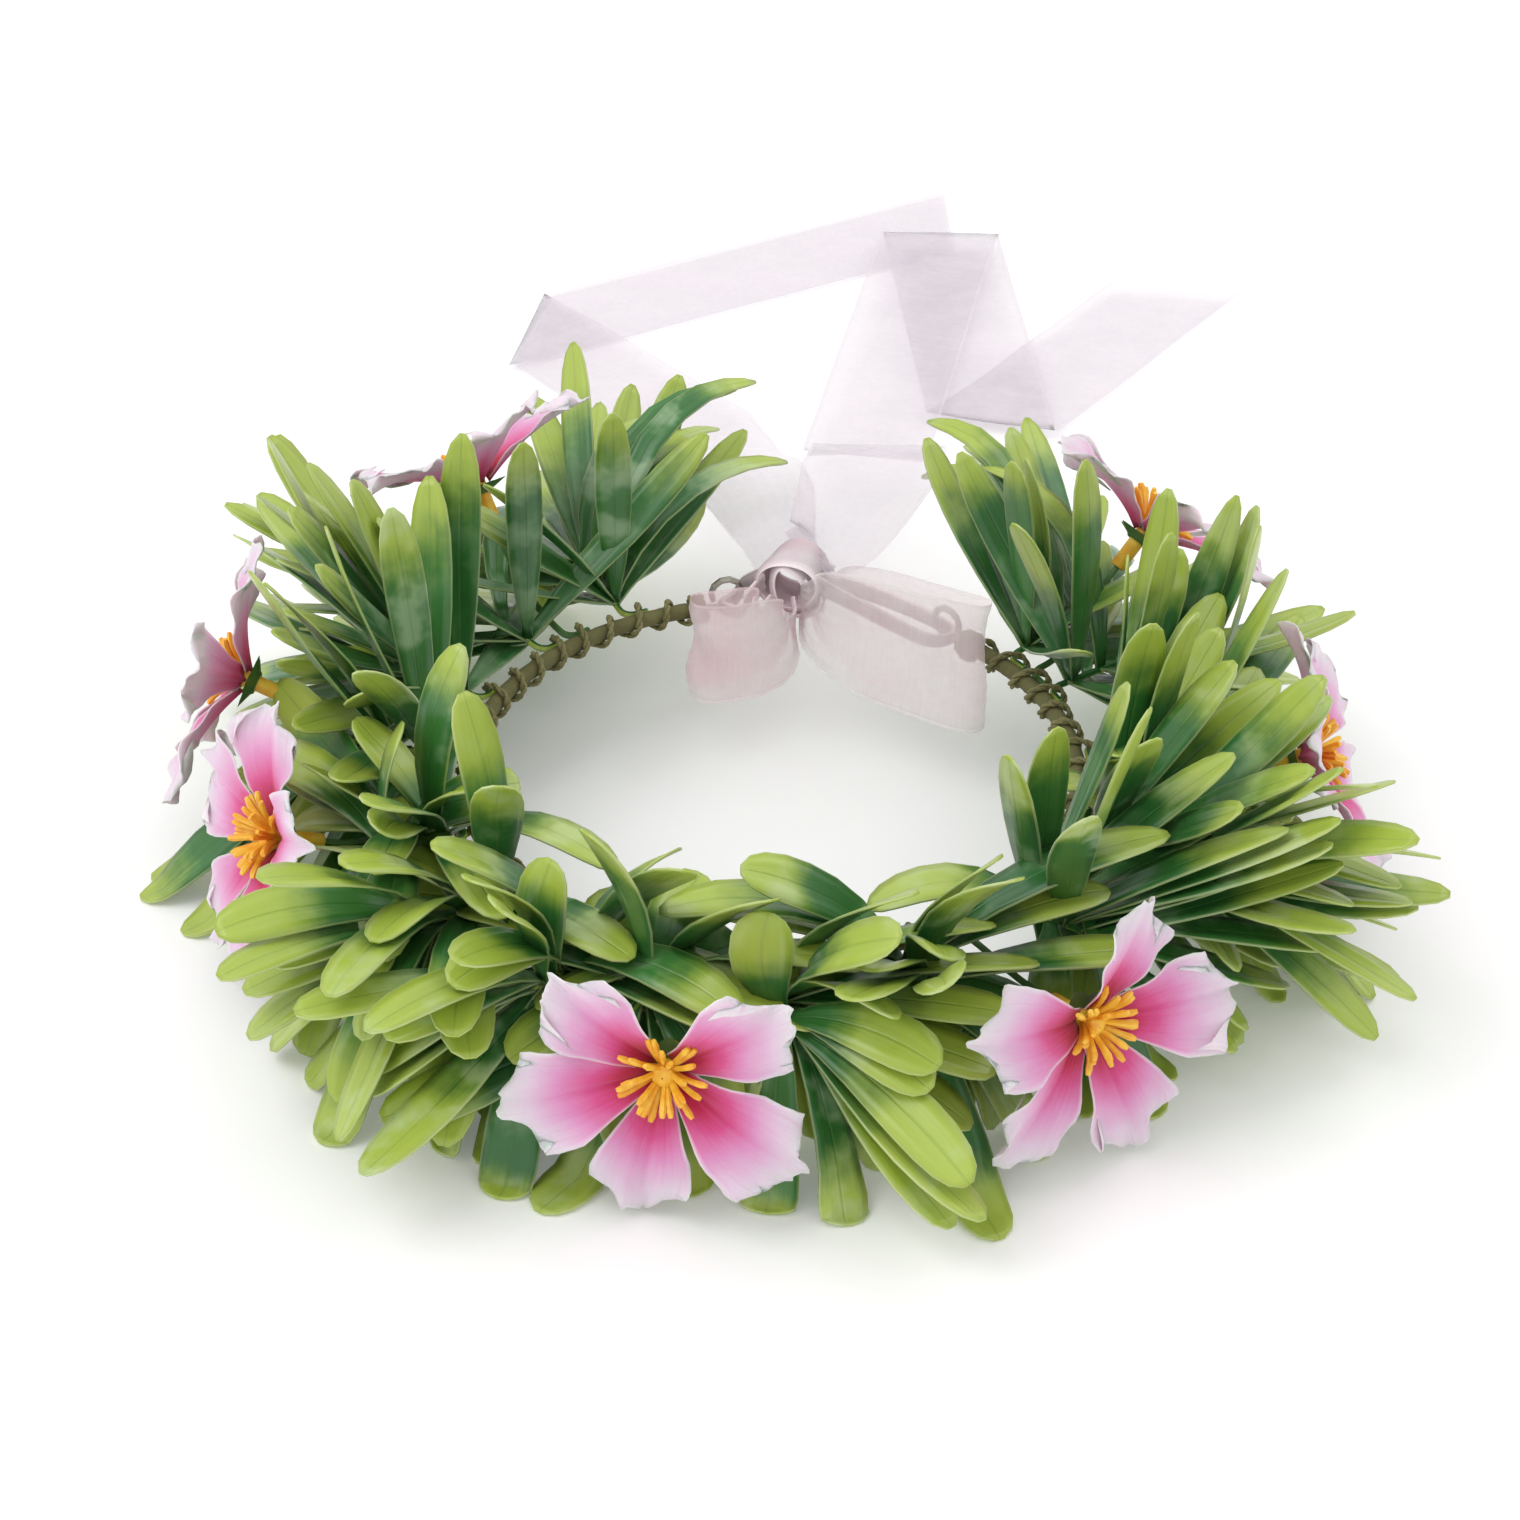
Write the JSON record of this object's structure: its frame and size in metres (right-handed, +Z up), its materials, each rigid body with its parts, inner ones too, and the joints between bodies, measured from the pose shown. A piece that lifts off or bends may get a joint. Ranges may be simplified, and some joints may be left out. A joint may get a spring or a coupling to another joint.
{
  "type": "flower crown",
  "caption": "Open wire hoop bound with moulded leaf sprigs and turning fabric blossoms, tied at the back with an organza ribbon bow.",
  "frame": {"origin": "centre of the head opening, on the table that the crown lies on", "axes": "+Z up out of the crown, +Y to the back where the ribbon is tied, -Y the front, +X the right"},
  "size_m": [0.33, 0.5416, 0.1084],
  "materials": {
    "steel_wire": "dull drawn wire",
    "paper_sleeve": "crinkled paper tape",
    "olive_twine": "twisted paper twine",
    "leaf_plastic": "semi-gloss soft moulded plastic, airbrushed",
    "petal_fabric": "heat-cut printed fabric",
    "stamen_plastic": "satin moulded plastic",
    "calyx_plastic": "satin moulded plastic",
    "stem_plastic": "satin moulded plastic",
    "organza": "sheer organza"
  },
  "bodies": {
    "crown": {"hoop_wire": "steel_wire", "hoop_sleeve": "paper_sleeve", "binding_twine": "olive_twine", "leaf_sprig_01": "leaf_plastic", "leaf_sprig_02": "leaf_plastic", "leaf_sprig_03": "leaf_plastic", "leaf_sprig_04": "leaf_plastic", "leaf_sprig_05": "leaf_plastic", "leaf_sprig_06": "leaf_plastic", "leaf_sprig_07": "leaf_plastic", "leaf_sprig_08": "leaf_plastic", "leaf_sprig_09": "leaf_plastic", "leaf_sprig_10": "leaf_plastic", "leaf_sprig_11": "leaf_plastic", "leaf_sprig_12": "leaf_plastic", "leaf_sprig_13": "leaf_plastic", "leaf_sprig_14": "leaf_plastic", "leaf_sprig_15": "leaf_plastic", "leaf_sprig_16": "leaf_plastic", "blossom_front_stem": "stem_plastic", "blossom_front_right_stem": "stem_plastic", "blossom_right_stem": "stem_plastic", "blossom_back_right_stem": "stem_plastic", "blossom_back_left_stem": "stem_plastic", "blossom_far_left_stem": "stem_plastic", "blossom_left_stem": "stem_plastic", "ribbon_knot": "organza", "ribbon_strand_left": "organza", "ribbon_strand_right": "organza", "ribbon_loop_left": "organza", "ribbon_loop_right": "organza", "ribbon_tail_left": "organza", "ribbon_tail_right": "organza"},
    "blossom_front_head": {"blossom_front_petals": "petal_fabric", "blossom_front_stamens": "stamen_plastic", "blossom_front_calyx": "calyx_plastic"},
    "blossom_front_right_head": {"blossom_front_right_petals": "petal_fabric", "blossom_front_right_stamens": "stamen_plastic", "blossom_front_right_calyx": "calyx_plastic"},
    "blossom_right_head": {"blossom_right_petals": "petal_fabric", "blossom_right_stamens": "stamen_plastic", "blossom_right_calyx": "calyx_plastic"},
    "blossom_back_right_head": {"blossom_back_right_petals": "petal_fabric", "blossom_back_right_stamens": "stamen_plastic", "blossom_back_right_calyx": "calyx_plastic"},
    "blossom_back_left_head": {"blossom_back_left_petals": "petal_fabric", "blossom_back_left_stamens": "stamen_plastic", "blossom_back_left_calyx": "calyx_plastic"},
    "blossom_far_left_head": {"blossom_far_left_petals": "petal_fabric", "blossom_far_left_stamens": "stamen_plastic", "blossom_far_left_calyx": "calyx_plastic"},
    "blossom_left_head": {"blossom_left_petals": "petal_fabric", "blossom_left_stamens": "stamen_plastic", "blossom_left_calyx": "calyx_plastic"}
  },
  "joints": [
    {"name": "blossom_front_turn", "type": "hinge", "parent": "crown", "child": "blossom_front_head", "pos_m": [0.00537, -0.12288, 0.03717], "axis": [0.1014, -0.965, 0.2419], "continuous": true},
    {"name": "blossom_front_right_turn", "type": "hinge", "parent": "crown", "child": "blossom_front_right_head", "pos_m": [0.09509, -0.08266, 0.03793], "axis": [0.7803, -0.6097, 0.1392], "continuous": true},
    {"name": "blossom_right_turn", "type": "hinge", "parent": "crown", "child": "blossom_right_head", "pos_m": [0.13002, 0.03242, 0.04], "axis": [0.9187, 0.2462, 0.309], "continuous": true},
    {"name": "blossom_back_right_turn", "type": "hinge", "parent": "crown", "child": "blossom_back_right_head", "pos_m": [0.07873, 0.09057, 0.064], "axis": [0.4777, 0.5693, 0.6691], "continuous": true},
    {"name": "blossom_back_left_turn", "type": "hinge", "parent": "crown", "child": "blossom_back_left_head", "pos_m": [-0.0983, 0.06883, 0.066], "axis": [-0.4851, 0.379, 0.788], "continuous": true},
    {"name": "blossom_far_left_turn", "type": "hinge", "parent": "crown", "child": "blossom_far_left_head", "pos_m": [-0.13781, -0.00722, 0.046], "axis": [-0.9395, -0.0164, 0.342], "continuous": true},
    {"name": "blossom_left_turn", "type": "hinge", "parent": "crown", "child": "blossom_left_head", "pos_m": [-0.10912, -0.063, 0.04], "axis": [-0.7501, -0.545, 0.3746], "continuous": true}
  ]
}
